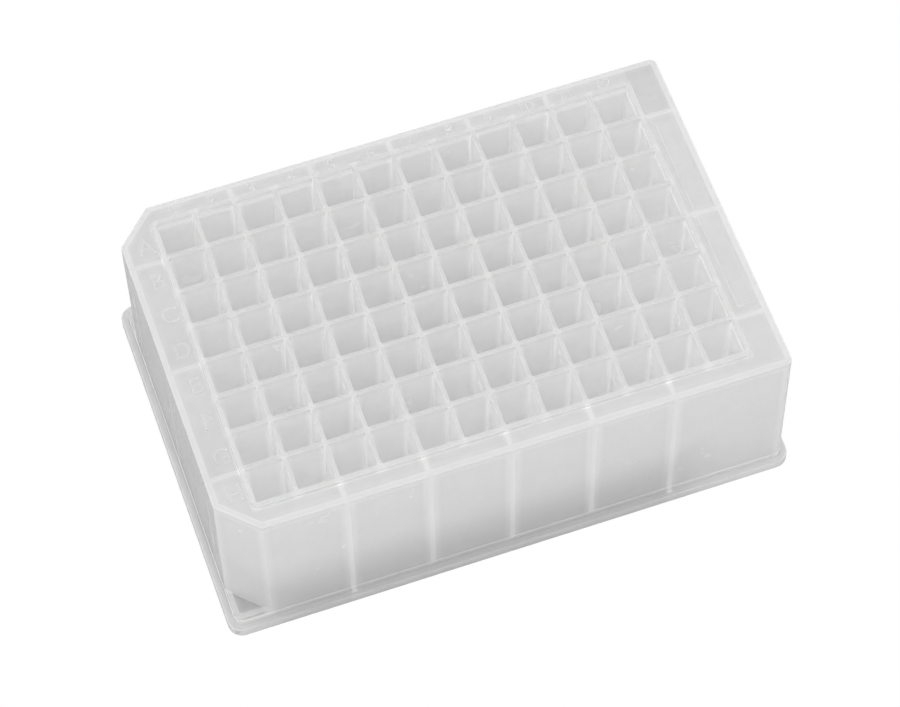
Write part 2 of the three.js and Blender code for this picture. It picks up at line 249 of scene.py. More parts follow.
class PlateStudio(PropertyGroup):
    """Floor, lights and camera"""

    floor_size: length("Floor size", 9000.0, "Side of the floor")
    floor_white: amount("Floor white", 1.0, "How bright the floor looks")
    floor_colour: colour("Floor colour", (0.7, 0.7, 0.7), "What the floor gives back to the plate")
    # A darker floor under the plate: a painted shadow.
    covered_colour: colour("Covered floor", (0.42, 0.42, 0.42), "Floor under the plate")
    air: amount("Tent", 0.76, "Brightness of the white tent all round")
    left_front: amount("Left front light", 2.23, "Soft light high in front on the left")
    right_rear: amount("Right rear light", 0.8, "Soft light low behind on the right")
    right_low: amount("Right low light", 0.9, "Soft light low in front on the right")
    left_gleam: amount("Left gleam", 24.0, "Reflector on the left, seen in gloss only")
    front_gleam: amount("Front gleam", 18.0, "Reflector in front, seen in gloss only")
    aim: FloatVectorProperty(
        name="Camera aim", description="What it looks at", default=(-0.0010, -0.0036, 0.0216),
        subtype="XYZ", unit="LENGTH",
    )
    azimuth: angle("Camera azimuth", -17.88, "0 is in front of the long side")
    elevation: angle("Camera elevation", 59.72, "Angle above the horizon")
    roll: angle("Camera roll", 1.463, "Lean of the camera to the right")
    distance: length("Camera distance", 768.0, "From the aim to the camera")
    lens: amount("Lens", 142.36, "Focal length in millimetres")
    sensor: amount("Sensor", 36.0, "Sensor width in millimetres")


class PlateSettings(PropertyGroup):
    """Everything about the plate that can be set"""

    shell: PointerProperty(name="Shell", type=PlateShell)
    wells: PointerProperty(name="Wells", type=PlateWells)
    ribs: PointerProperty(name="Ribs", type=PlateRibs)
    marks: PointerProperty(name="Marks", type=PlateMarks)
    finish: PointerProperty(name="Finish", type=PlateFinish)
    studio: PointerProperty(name="Studio", type=PlateStudio)


# ---- sizes that follow
class Plan:
    """Sizes and places that follow from the settings, in metres. X and Y are half sizes."""

    def __init__(self, settings):
        shell, wells = self.shell, self.wells = settings.shell, settings.wells
        self.ribs, self.marks = settings.ribs, settings.marks
        self.body_x = shell.length / 2 - shell.ledge_width
        self.body_y = shell.width / 2 - shell.ledge_width
        self.deck = shell.height - wells.rim_rise
        self.deck_underside = self.deck - shell.deck_thickness
        self.ledge_underside = shell.flange_height - shell.ledge_thickness
        self.well_half = (wells.pitch - wells.rim_width) / 2
        self.well_floor_half = self.well_half - wells.draft
        self.well_floor = wells.bottom_height + wells.point_depth
        past_last_well = self.well_half + wells.outer_rim_width
        self.block_x = (wells.columns - 1) * wells.pitch / 2 + past_last_well
        self.block_y = (wells.rows - 1) * wells.pitch / 2 + past_last_well
        self.outer_point = wells.bottom_height - wells.floor_thickness
        self.groove = self.outer_point + wells.groove_rise

    def column(self, number):
        """X of the middle of a column; 2.5 is between columns 2 and 3."""
        return (number - (self.wells.columns + 1) / 2) * self.wells.pitch

    def row(self, number):
        """Y of the middle of a row."""
        return ((self.wells.rows + 1) / 2 - number) * self.wells.pitch

    def body_outline(self, inset=0.0):
        x, y, off = self.body_x, self.body_y, self.shell.corner_chamfer
        whole, edge = self.shell.body_corner, self.shell.chamfer_edge
        cuts = [(off - x, y, edge), (-x, y - off, edge), (-x, off - y, edge), (off - x, -y, edge)]
        return outline([(x, y, whole), *cuts, (x, -y, whole)], inset)

    def foot_outline(self, inset=0.0):
        x, y = self.body_x, self.body_y
        whole, low = self.shell.body_corner, self.shell.block_corner
        return outline([(x, y, whole), (-x, y, low), (-x, -y, low), (x, -y, whole)], inset)

    def flange_outline(self, inset=0.0):
        shell = self.shell
        return oblong(shell.length / 2, shell.width / 2, shell.flange_corner, inset)

    def block_outline(self, inset=0.0):
        return oblong(self.block_x, self.block_y, self.wells.outer_rim_corner, inset)


# ---- outlines
ARC_STEPS = 6  # straight steps in the rounding of one corner of an outline
EDGE_STEPS = 4  # straight steps in the rounding of an edge
SMALLEST_RADIUS = 0.02 * MM
FLARE_POWER = 1.5  # how quickly the flare at a rib's end dies away


def outline(corners, inset=0.0):
    """Points round a convex outline of (x, y, radius) corners whose sides move in by inset."""
    sides = []
    for (x, y, _), (next_x, next_y, _) in zip(corners, corners[1:] + corners[:1]):
        run = Vector((next_x - x, next_y - y)).normalized()
        inward = Vector((-run.y, run.x))
        sides.append((run, inward, inward.dot(Vector((x, y))) + inset))
    points = []
    for index, (_, _, radius) in enumerate(corners):
        run_in, inward_in, reach_in = sides[index - 1]
        run_out, inward_out, reach_out = sides[index]
        radius = max(radius - inset, SMALLEST_RADIUS)
        centre = crossing(inward_in, reach_in + radius, inward_out, reach_out + radius)
        turn = math.atan2(run_in.cross(run_out), run_in.dot(run_out))
        for step in range(ARC_STEPS + 1):
            outward = -(Matrix.Rotation(turn * step / ARC_STEPS, 2) @ inward_in)
            points.append(centre + outward * radius)
    return points


def crossing(normal_a, reach_a, normal_b, reach_b):
    """The point at the given reach along both normals."""
    across = normal_a.cross(normal_b)
    return Vector((
        (reach_a * normal_b.y - reach_b * normal_a.y) / across,
        (reach_b * normal_a.x - reach_a * normal_b.x) / across,
    ))


def oblong(x, y, radius, inset=0.0):
    """A rounded oblong's outline from half its sizes."""
    return outline([(x, y, radius), (-x, y, radius), (-x, -y, radius), (x, -y, radius)], inset)


def square(half, radius):
    return oblong(half, half, radius)


def moved(points, x, y):
    return [point + Vector((x, y)) for point in points]


def quarter():
    """Angles of a quarter turn, from 0 up to a right angle."""
    return [math.pi / 2 * step / EDGE_STEPS for step in range(EDGE_STEPS + 1)]


def rounding(radius):
    """(drop, inset) below a rounded edge, from its side up to its top."""
    return [(radius * (1 - math.sin(a)), radius * (1 - math.cos(a))) for a in quarter()]


def rounded_top(top, radius, inset=0.0):
    """(height, inset) up a side that ends in a rounded edge."""
    return [(top - drop, inset + step) for drop, step in rounding(radius)]


def rounded_bottom(bottom, radius, inset=0.0):
    """(height, inset) from a rounded lower edge up into its side."""
    return [(bottom + drop, inset + step) for drop, step in reversed(rounding(radius))]


def flared_top(top, radius, inset=0.0):
    """(height, inset) up the side of a hole whose mouth opens in a rounded edge."""
    return [(top - drop, inset - step) for drop, step in rounding(radius)]


# ---- solids
def skins(*several):
    """A mesh of closed skins, each up through (height, points) with equally many points."""
    solid = bmesh.new()
    for levels in several:
        rings = [[solid.verts.new((p.x, p.y, height)) for p in points] for height, points in levels]
        for lower, upper in zip(rings, rings[1:]):
            for index in range(len(lower)):
                after = (index + 1) % len(lower)
                solid.faces.new((lower[index], lower[after], upper[after], upper[index]))
        solid.faces.new(list(reversed(rings[0])))
        solid.faces.new(rings[-1])
    mesh = bpy.data.meshes.new("solid")
    solid.to_mesh(mesh)
    solid.free()
    return mesh


def raised(outline_at, rise):
    """A closed skin up through (height, inset) along an outline that takes an inset."""
    return skins([(height, outline_at(inset)) for height, inset in rise])


def combine(base, other, operation):
    """The mesh of base joined with or cut by other. Both are used up."""
    objects = [bpy.data.objects.new("operand", mesh) for mesh in (base, other)]
    for each in objects:
        bpy.context.scene.collection.objects.link(each)
    boolean = objects[0].modifiers.new("Boolean", "BOOLEAN")
    boolean.operation = operation
    boolean.solver = "MANIFOLD"
    boolean.object = objects[1]
    depsgraph = bpy.context.evaluated_depsgraph_get()
    result = bpy.data.meshes.new_from_object(objects[0].evaluated_get(depsgraph))
    if len(result.vertices) in (0, len(base.vertices)):
        raise RuntimeError(f"{operation} failed on a mesh of {len(base.vertices)} corners")
    for each in objects:
        bpy.data.objects.remove(each)
    for mesh in (base, other):
        bpy.data.meshes.remove(mesh)
    return result


def join(base, *others):
    for other in others:
        base = combine(base, other, "UNION")
    return base


def cut(base, *others):
    for other in others:
        base = combine(base, other, "DIFFERENCE")
    return base


# ---- outer shell
def flange(plan):
    shell = plan.shell
    rise = rounded_bottom(0.0, shell.flange_foot_edge)
    rise += rounded_top(shell.flange_height, shell.flange_edge)
    return raised(plan.flange_outline, rise)


def body(plan):
    """The outer wall with its cut corners, filled up to the deck."""
    rise = [(EMBED, 0.0)] + rounded_top(plan.deck, plan.shell.body_edge)
    return raised(plan.body_outline, rise)


def foot(plan):
    """Below the parting line the wall stands out a little."""
    shell = plan.shell
    rise = [(EMBED, -shell.parting_step)]
    rise += rounded_top(shell.parting_height, shell.parting_edge, -shell.parting_step)
    return raised(plan.foot_outline, rise)


def corner_blocks(plan):
    """Low blocks that fill the two cut corners: an upright edge round a shallow pocket."""
    shell = plan.shell
    rise = [(EMBED, 0.0)] + rounded_top(shell.block_height, shell.block_edge)
    block = raised(plan.foot_outline, rise)
    pocket_floor = shell.block_height - shell.pocket_depth
    rise = rounded_bottom(pocket_floor, shell.block_edge, shell.block_wall)
    rise += flared_top(shell.block_height, shell.block_edge, shell.block_wall)
    rise += [(shell.block_height + OVERCUT, shell.block_wall - shell.block_edge)]
    return cut(block, raised(plan.foot_outline, rise))


# ---- block of wells
def block_mass(plan, rise_to_rims=True):
    """The solid block, down to the groove between the outer points."""
    shell, wells = plan.shell, plan.wells
    rise = [(plan.groove, wells.block_draft)]
    if rise_to_rims:
        rise += [(plan.deck - EMBED, 0.0), (plan.deck - EMBED / 2, -wells.rim_foot)]
        rise += [(plan.deck + step, -drop) for drop, step in rounding(wells.rim_foot)]
        rise += rounded_top(shell.height, wells.rim_edge)
    else:
        rise += [(plan.deck, 0.0)]
    return raised(plan.block_outline, rise)


def outer_points(plan):
    """The outside of the wells' pointed bottoms."""
    wells = plan.wells
    base_half = (wells.pitch - wells.groove_width) / 2
    slope = (base_half - wells.outer_point_half) / wells.groove_rise
    levels = [
        (plan.outer_point, square(wells.outer_point_half, wells.corner)),
        (plan.groove + EMBED, square(base_half + slope * EMBED, wells.corner)),
    ]
    return at_each_well(plan, levels)


def well_spaces(plan):
    """The space inside every well, from the tip of its pyramid up through its rim."""
    wells, shell = plan.wells, plan.shell
    tip = Vector((wells.point_half, wells.bottom_height))
    bend = Vector((plan.well_floor_half, plan.well_floor))
    mouth = Vector((plan.well_half, shell.height - wells.rim_edge))
    start = bend + (tip - bend).normalized() * wells.floor_fillet
    end = bend + (mouth - bend).normalized() * wells.floor_fillet
    levels = [(tip.y, square(tip.x, wells.point_corner))]
    for step in range(EDGE_STEPS + 1):
        t = step / EDGE_STEPS
        at = start * (1 - t) ** 2 + bend * 2 * t * (1 - t) + end * t**2
        levels.append((at.y, square(at.x, wells.corner)))
    for height, inset in flared_top(shell.height, wells.rim_edge):
        levels.append((height, square(plan.well_half - inset, wells.corner - inset)))
    levels.append((shell.height + OVERCUT, levels[-1][1]))
    return at_each_well(plan, levels)


def at_each_well(plan, levels):
    """The same closed skin at every well, in one mesh."""
    rows, columns = range(1, plan.wells.rows + 1), range(1, plan.wells.columns + 1)
    places = [(plan.column(column), plan.row(row)) for row in rows for column in columns]
    return skins(*(
        [(height, moved(points, *place)) for height, points in levels] for place in places
    ))


# ---- ribs and pads
def rib_outline(reach_in, reach_out, width, flare, buried):
    """A rib's plan along +X. Its ends flare, then reach into the block and into the wall."""
    half = width / 2
    runs = [math.sin(a) for a in quarter()]
    flares = [(flare * run, half + flare * (1 - run) ** FLARE_POWER) for run in runs]
    edge = [(reach_in - buried, half)]
    edge += [(reach_in + run, spread) for run, spread in flares]
    edge += [(reach_out - run, spread) for run, spread in reversed(flares)]
    edge += [(reach_out + buried, half)]
    return [Vector((x, -y)) for x, y in edge] + [Vector((x, y)) for x, y in reversed(edge)]


def ribs(plan):
    """Upright ribs that tie the block to the outer wall on all four sides."""
    shell, wells, sizes = plan.shell, plan.wells, plan.ribs
    long_sides = [Vector((plan.column(number + 0.5), 0)) for number in sizes.after_columns]
    short_sides = [Vector((0, plan.row(number + 0.5))) for number in sizes.after_rows]
    heights = (
        (shell.parting_height, sizes.bottom_width),
        (plan.deck_underside + EMBED, sizes.top_width),
    )

    several = []
    for places, headings, block, wall in (
        (long_sides, (math.pi / 2, -math.pi / 2), plan.block_y, plan.body_y),
        (short_sides, (0.0, math.pi), plan.block_x, plan.body_x),
    ):
        reach = (block - wells.block_draft, wall - shell.wall)
        levels = [
            (height, rib_outline(*reach, width, sizes.flare, wells.outer_rim_width / 2))
            for height, width in heights
        ]
        for place in places:
            for heading in headings:
                turn = Matrix.Rotation(heading, 2)
                several.append([(z, [turn @ p + place for p in points]) for z, points in levels])
    return skins(*several)


def stacking_pads(plan):
    """The pads under the ledge that keep stacked plates apart."""
    shell = plan.shell
    reach = shell.ledge_width + shell.wall
    y = shell.width / 2 - shell.flange_wall / 2 - reach / 2
    pad = oblong(shell.pad_width / 2, reach / 2, shell.pad_corner)
    heights = (plan.ledge_underside - shell.pad_drop, plan.ledge_underside + EMBED)
    return skins(*(
        [(height, moved(pad, plan.column(number + 0.5), side * y)) for height in heights]
        for number in plan.ribs.with_pads
        for side in (1, -1)
    ))


def gate_pad(plan):
    """The thicker spot under the deck that the plastic enters through."""
    marks = plan.marks
    y = (plan.block_y + plan.body_y - plan.shell.wall) / 2
    x = plan.column(1) + marks.gate_offset
    points = moved(oblong(marks.gate_length / 2, marks.gate_width / 2, marks.gate_end), x, y)
    low = plan.deck_underside
    return skins([(low - marks.gate_depth, points), (low + EMBED, points)])


def hollow(plan):
    """The open space under the moulding."""
    shell = plan.shell
    rise = [(0.0, shell.wall)] + rounded_top(plan.deck_underside, shell.inner_fillet, shell.wall)
    under_deck = raised(plan.body_outline, rise)
    corner_ceiling = shell.block_height - shell.pocket_depth - shell.ledge_thickness
    under_corners = raised(plan.foot_outline, [(0.0, shell.wall), (corner_ceiling, shell.wall)])
    under_flange = raised(
        plan.flange_outline,
        [(-OVERCUT, shell.flange_wall), (plan.ledge_underside, shell.flange_wall)],
    )
    block = join(block_mass(plan, rise_to_rims=False), outer_points(plan))
    space = join(under_deck, under_corners)
    space = cut(space, block, ribs(plan), gate_pad(plan))
    return join(space, cut(under_flange, stacking_pads(plan)))


def moulding(plan):
    """The whole plate, one closed skin."""
    filled = join(flange(plan), foot(plan), corner_blocks(plan), body(plan), block_mass(plan))
    return cut(filled, hollow(plan), well_spaces(plan))


# ---- raised marks
LETTER_STEPS = 5  # straight steps in the curves of a letter
CAPITAL_HEIGHT = 0.69  # of a letter at size 1
FACES_UP = 0.9  # least upward part of a top face's normal
WELD = 0.002 * MM


def text_mesh(text, height, thickness):
    """A flat slab of raised text, before its edges are chamfered."""
    font = bpy.data.curves.new("mark", "FONT")
    font.body = text
    font.extrude = thickness / 2
    font.resolution_u = LETTER_STEPS
    font.size = height / CAPITAL_HEIGHT
    holder = bpy.data.objects.new("mark", font)
    bpy.context.scene.collection.objects.link(holder)
    depsgraph = bpy.context.evaluated_depsgraph_get()
    mesh = bpy.data.meshes.new_from_object(holder.evaluated_get(depsgraph))
    bpy.data.objects.remove(holder)
    bpy.data.curves.remove(font)
    return mesh


def text_solid(text, height, x, y, low, high, edge):
    """A closed skin of a piece of text with a chamfered upper edge, centred at x, y."""
    mesh = text_mesh(text, height, high - edge - low)
    solid = bmesh.new()
    solid.from_mesh(mesh)
    bmesh.ops.remove_doubles(solid, verts=solid.verts, dist=WELD)
    xs = [vert.co.x for vert in solid.verts]
    ys = [vert.co.y for vert in solid.verts]
    middle = Vector(((min(xs) + max(xs)) / 2, (min(ys) + max(ys)) / 2, 0.0))
    place = Vector((x, y, (low + high - edge) / 2))
    bmesh.ops.translate(solid, verts=solid.verts, vec=place - middle)
    solid.normal_update()
    top = [face for face in solid.faces if face.normal.z > FACES_UP]
    bmesh.ops.inset_region(solid, faces=top, thickness=edge, use_even_offset=True)
    crown = list({vert for face in top for vert in face.verts})
    bmesh.ops.translate(solid, verts=crown, vec=Vector((0.0, 0.0, edge)))
    solid.to_mesh(mesh)
    solid.free()
    return mesh


def letters(plan):
    """The row letters, then the column numbers, each a solid of its own."""
    marks = plan.marks
    levels = (plan.deck - EMBED, plan.deck + marks.rise, marks.letter_edge)
    for index, letter in enumerate(marks.rows_text[: plan.wells.rows]):
        place = (-marks.letter_x, plan.row(index + 1))
        yield text_solid(letter, marks.letter_height, *place, *levels)
    for number in range(1, plan.wells.columns + 1):
        place = (plan.column(number), marks.number_y)
        yield text_solid(str(number), marks.number_height, *place, *levels)


def plain_field(plan):
    """The raised plain field beside the last column."""
    marks = plan.marks
    half = (marks.field_high - marks.field_low) / 2
    middle = (marks.field_low + marks.field_high) / 2
    rise = [(plan.deck - EMBED, 0.0)]
    rise += rounded_top(plan.deck + marks.field_rise, marks.field_edge)

    def field_outline(inset):
        return moved(oblong(half, marks.field_half, marks.field_corner, inset), middle, 0.0)

    return raised(field_outline, rise)


# ---- material
class Recipe:
    """Nodes of one material or world, added and joined in few words."""

    def __init__(self, owner):
        owner.use_nodes = True
        self.tree = owner.node_tree
        self.tree.nodes.clear()

    def add(self, kind, values=(), **settings):
        """A new node; values go into its named sockets, a node's output is linked to them."""
        node = self.tree.nodes.new(kind)
        for name, value in settings.items():
            setattr(node, name, value)
        for socket, value in dict(values).items():
            if isinstance(value, bpy.types.NodeSocket):
                self.tree.links.new(value, node.inputs[socket])
            else:
                node.inputs[socket].default_value = value
        return node

    def shader(self, kind, **values):
        return self.add(kind, values).outputs[0]

    def mixed(self, part, first, second):
        """Two shaders, the second one by its part of the whole."""
        return self.add("ShaderNodeMixShader", {0: part, 1: first, 2: second}).outputs["Shader"]

    def plastic(self, haze, dense, tint, **relief):
        """Clear plastic, hazy in one part and dense in another."""
        clear = self.shader("ShaderNodeBsdfTransparent", Color=tint)
        hazy = self.shader("ShaderNodeBsdfTranslucent", Color=tint, **relief)
        solid = self.shader("ShaderNodeBsdfDiffuse", Color=tint, **relief)
        return self.mixed(dense, self.mixed(haze, clear, hazy), solid)

    def ranged(self, value, low, high, start=0.0, end=1.0, interpolation="LINEAR"):
        values = {"Value": value, "From Min": start, "From Max": end, "To Min": low, "To Max": high}
        return self.add("ShaderNodeMapRange", values, interpolation_type=interpolation).outputs[0]

    def maths(self, operation, *values):
        """Two values, or more one after the other, put through an operation."""

        def step(a, b):
            return self.add("ShaderNodeMath", {0: a, 1: b}, operation=operation).outputs["Value"]

        return reduce(step, values)

    def size_of(self, value):
        return self.maths("ABSOLUTE", value, 0.0)

    def noise(self, point, size, **values):
        values.update(Vector=point, Scale=1.0 / size)
        return self.add("ShaderNodeTexNoise", values).outputs["Fac"]

    def depth(self, reach, looks):
        """How little air there is within reach behind the surface, by so many looks."""
        settings = {"inside": True, "only_local": True, "samples": looks}
        return self.add("ShaderNodeAmbientOcclusion", {"Distance": reach}, **settings).outputs["AO"]


class Places:
    """Parts of the plate, as masks that are 1 there and 0 elsewhere."""

    def __init__(self, recipe, plan, blur):
        self.maths, self.ranged, self.plan, self.blur = recipe.maths, recipe.ranged, plan, blur
        self.point = recipe.add("ShaderNodeTexCoord").outputs["Object"]
        split = recipe.add("ShaderNodeSeparateXYZ", {"Vector": self.point}).outputs
        self.x, self.y, self.height = split["X"], split["Y"], split["Z"]
        self.out_x, self.out_y = recipe.size_of(self.x), recipe.size_of(self.y)
        self.past_block_x = self.above(self.out_x, plan.block_x)
        self.past_block_y = self.above(self.out_y, plan.block_y)
        self.above_parting = self.above(self.height, plan.shell.parting_height)
        self.deck = self.deck_panels()

    def below(self, value, limit):
        return self.ranged(value, 1.0, 0.0, limit - self.blur, limit + self.blur)

    def above(self, value, limit):
        return self.ranged(value, 0.0, 1.0, limit - self.blur, limit + self.blur)

    def all_of(self, *masks):
        return self.maths("MULTIPLY", *masks)

    def any_of(self, *masks):
        return self.maths("MAXIMUM", *masks)

    def block(self, inset=0.0):
        """The block of wells."""
        reach = EMBED - inset
        within_x = self.maths("LESS_THAN", self.out_x, self.plan.block_x + reach)
        within_y = self.maths("LESS_THAN", self.out_y, self.plan.block_y + reach)
        return self.all_of(within_x, within_y)

    def deck_panels(self):
        """The deck round the wells."""
        deck, edge = self.plan.deck, self.plan.shell.body_edge
        high = self.ranged(self.height, 0.0, 1.0, deck - edge, deck - edge / 2)
        return self.all_of(high, self.ranged(self.block(), 1.0, 0.0))

    def near_rib(self, value, after):
        """Along one side, the places of its ribs."""
        spacing = (after[1] - after[0]) * self.plan.wells.pitch / 2
        half = self.plan.ribs.top_width / 2 - self.blur / 2
        return self.below(self.maths("PINGPONG", value, spacing), half)

    def ribs(self):
        """The ribs behind the wall and the deck, and the stacking pads behind the ledge."""
        plan, sizes = self.plan, self.plan.ribs
        last = sizes.with_pads[1]
        by_pad = self.above(self.out_x, plan.column(last))
        long_side = self.all_of(
            self.near_rib(self.out_x, sizes.after_columns),
            self.below(self.out_x, plan.column(last + 1.5)),  # none at the corner
            self.past_block_y,
            self.below(self.out_y, plan.body_y + plan.shell.ledge_width / 2),
            self.any_of(self.above_parting, by_pad),
        )
        short_side = self.all_of(
            self.near_rib(self.out_y, sizes.after_rows), self.past_block_x, self.above_parting
        )
        return self.any_of(long_side, short_side)

    def parting_line(self):
        """The parting line round the wall, where a painted highlight goes."""
        off = self.maths("SUBTRACT", self.height, self.plan.shell.parting_height)
        near = self.below(self.maths("ABSOLUTE", off, 0.0), self.blur / 2)
        return self.all_of(near, self.any_of(self.past_block_y, self.past_block_x))

    def wall_top(self):
        """The outer wall, seen through the deck above it."""
        wall, x, y = self.plan.shell.wall, self.plan.body_x, self.plan.body_y
        cut_off = x + y - self.plan.shell.corner_chamfer - wall * math.sqrt(2.0)
        return self.any_of(
            self.above(self.out_x, x - wall),
            self.above(self.out_y, y - wall),
            self.above(self.maths("SUBTRACT", self.out_y, self.x), cut_off),
        )

    def seams(self, deck_share):
        """Where the plastic is thickest, and the parting line, where a painted highlight goes; in
        the deck only a share of it.
        """
        top = self.all_of(self.wall_top(), self.deck)
        marked = self.any_of(self.ribs(), self.parting_line(), top)
        return self.all_of(marked, self.ranged(self.deck, 1.0, deck_share))

    def pockets(self):
        """The floors of the two corner pockets, where a painted shade darkens them."""
        shell, x, y = self.plan.shell, self.plan.body_x, self.plan.body_y
        pocket_floor = shell.block_height - shell.pocket_depth
        return self.all_of(
            self.maths("GREATER_THAN", self.x, shell.block_wall - x),
            self.maths("LESS_THAN", self.x, shell.corner_chamfer - x),
            self.maths("GREATER_THAN", self.out_y, y - shell.corner_chamfer),
            self.maths("LESS_THAN", self.out_y, y - shell.block_wall),
            self.maths("GREATER_THAN", self.height, pocket_floor - EMBED),
            self.maths("LESS_THAN", self.height, pocket_floor + EMBED),
        )

    def back_corner(self):
        """The panel of the deck behind the first rib beside the last column, where a painted shade
        darkens it.
        """
        rib = self.plan.row(self.plan.ribs.after_rows[0] + 0.5)
        beside = self.maths("GREATER_THAN", self.x, self.plan.block_x)
        return self.all_of(self.deck, beside, self.maths("GREATER_THAN", self.y, rib))


CLOUD_DETAIL, CLOUD_ROUGHNESS, GRAIN_DETAIL = 3.0, 0.55, 2.0
GRAIN_STRENGTH = 0.2
BODY_LOOKS, EDGE_LOOKS = 8, 4  # looks into the plastic for its thickness and for its edges
EDGE_FULL, EDGE_NONE = 0.5, 0.95  # share of short looks that stay inside, at an edge and off it


def foot_tone(recipe, places, finish):
    """Painted shade: how light each place is beside the top of the plate, 1 being just as light. It
    darkens towards the foot, less towards both ends and not in the block of wells.
    """
    rising = recipe.ranged(
        places.height, finish.foot_tone, 1.0, finish.foot_low, finish.foot_high, "SMOOTHSTEP"
    )
    along = recipe.size_of(recipe.maths("ADD", places.x, finish.foot_shift))
    ends = recipe.ranged(along, 0.0, 1.0, finish.foot_reach, finish.foot_end, "SMOOTHSTEP")
    ends = recipe.ranged(ends, finish.foot_tone, 1.0)
    return recipe.maths("MAXIMUM", rising, places.block(), ends)


def milky_polypropylene(finish, plan):
    """Natural polypropylene: whiter where it is thick, with a soft gloss and a fine grain; painted
    shade darkens its foot, corner pockets and the deck's back corner, and painted highlights
    lighten its edges and parting line.
    """
    material = bpy.data.materials.new("milky_polypropylene")
    recipe = Recipe(material)
    ranged, maths = recipe.ranged, recipe.maths
    places = Places(recipe, plan, finish.seam_blur)
    clouds = recipe.noise(
        places.point, finish.cloud_size, Detail=CLOUD_DETAIL, Roughness=CLOUD_ROUGHNESS
    )
    grain = recipe.noise(places.point, finish.grain_size, Detail=GRAIN_DETAIL)
    relief = recipe.shader(
        "ShaderNodeBump", Height=grain, Strength=GRAIN_STRENGTH, Distance=finish.grain_height
    )

    among_wells = places.block(plan.wells.outer_rim_width)
    rims = maths("GREATER_THAN", places.height, plan.shell.height - 2 * plan.wells.rim_edge)
    softened = ranged(maths("MULTIPLY", among_wells, rims), 1.0, finish.rim_share)
    thickness = recipe.depth(finish.body_reach, BODY_LOOKS)
    thickness = ranged(thickness, 0.0, 1.0, finish.thin_end, finish.thick_end, "SMOOTHSTEP")
    thickness = maths("MULTIPLY", thickness, softened, ranged(places.deck, 1.0, finish.deck_glow))
    # Painted highlight: every outward edge, found by short looks into the plastic, takes the full
    # colour and sends back more light.
    edge = ranged(recipe.depth(finish.edge_reach, EDGE_LOOKS), 1.0, 0.0, EDGE_FULL, EDGE_NONE)
    edge = maths("MULTIPLY", edge, softened)
    # Ribs, pads and the wall under the deck look whiter as thick plastic; the parting line gets a
    # painted highlight.
    lines = places.seams(finish.deck_seam)

    tone = recipe.add(
        "ShaderNodeMix",
        {
            "Factor": maths("MAXIMUM", thickness, edge, lines),
            "A": (*finish.shade, 1.0),
            "B": (*finish.colour, 1.0),
        },
        data_type="RGBA",
    ).outputs["Result"]
    # Painted shade on the foot, the corner pockets and the deck's back corner panel.
    corner = maths("MULTIPLY", places.back_corner(), ranged(lines, 1.0, 0.0))
    painted_darkening = maths(
        "MULTIPLY",
        foot_tone(recipe, places, finish),
        ranged(places.pockets(), 1.0, finish.pocket_tone),
        ranged(corner, 1.0, finish.corner_tone),
    )
    tone = recipe.add(
        "ShaderNodeVectorMath", {0: tone, "Scale": painted_darkening}, operation="SCALE"
    ).outputs["Vector"]

    low, high = 1 - finish.cloud_depth, 1 + finish.cloud_depth
    haze = ranged(clouds, finish.haze * low, finish.haze * high)
    roughness = ranged(clouds, finish.roughness * low, finish.roughness * high)
    body_share = maths(
        "ADD",
        ranged(thickness, finish.body_thin, finish.body_thick),
        ranged(lines, 0.0, finish.seam),
        ranged(edge, 0.0, finish.edge),
    )
    seen = recipe.plastic(haze, body_share, tone, Normal=relief)
    outside = ranged(recipe.add("ShaderNodeNewGeometry").outputs["Backfacing"], 1.0, 0.0)
    fresnel = recipe.shader("ShaderNodeFresnel", IOR=finish.ior, Normal=relief)
    gloss = maths("MINIMUM", fresnel, ranged(among_wells, 1.0, finish.gloss_most))
    seen = recipe.mixed(
        maths("MULTIPLY", gloss, outside),
        seen,
        recipe.shader("ShaderNodeBsdfGlossy", Roughness=roughness, Normal=relief),
    )

    passed = recipe.plastic(finish.haze, finish.body_plain, (*finish.colour, 1.0))
    sight = recipe.add("ShaderNodeLightPath").outputs["Is Camera Ray"]
    milk = recipe.shader(
        "ShaderNodeVolumeScatter", Density=finish.milk, Color=(*finish.milk_colour, 1.0)
    )
    surface = recipe.mixed(sight, passed, seen)
    recipe.add("ShaderNodeOutputMaterial", {"Surface": surface, "Volume": milk})
    return material


def floor_material(name, tint, white=None):
    """A matt floor, which looks evenly white if that is given, and is clear from below."""
    material = bpy.data.materials.new(name)
    recipe = Recipe(material)
    surface = recipe.shader("ShaderNodeBsdfDiffuse", Color=(*tint, 1.0))
    if white is not None:
        sight = recipe.add("ShaderNodeLightPath").outputs["Is Camera Ray"]
        surface = recipe.mixed(sight, surface, recipe.shader("ShaderNodeEmission", Strength=white))
        material.cycles.emission_sampling = "NONE"
    below = recipe.add("ShaderNodeNewGeometry").outputs["Backfacing"]
    clear = recipe.shader("ShaderNodeBsdfTransparent", Color=(1.0, 1.0, 1.0, 1.0))
    recipe.add("ShaderNodeOutputMaterial", {"Surface": recipe.mixed(below, surface, clear)})
    return material


# ---- operators
CRISP_ANGLE = math.radians(38.0)  # edges that bend more stay crisp


class PLATE_OT_moulding(Operator):
    """Build the plate: wall, flange, deck, ribs and the block of wells, in one closed skin"""

    bl_idname = "plate.moulding"
    bl_label = "Build Moulding"
    bl_options = {"REGISTER", "UNDO"}

    def execute(self, context):
        plate = bpy.data.objects.new("deep_well_plate", moulding(Plan(context.scene.plate)))
        plate.data.name = "deep_well_plate"
        context.scene.collection.objects.link(plate)
        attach(plate, "root")
        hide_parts(NODE)
        return {"FINISHED"}


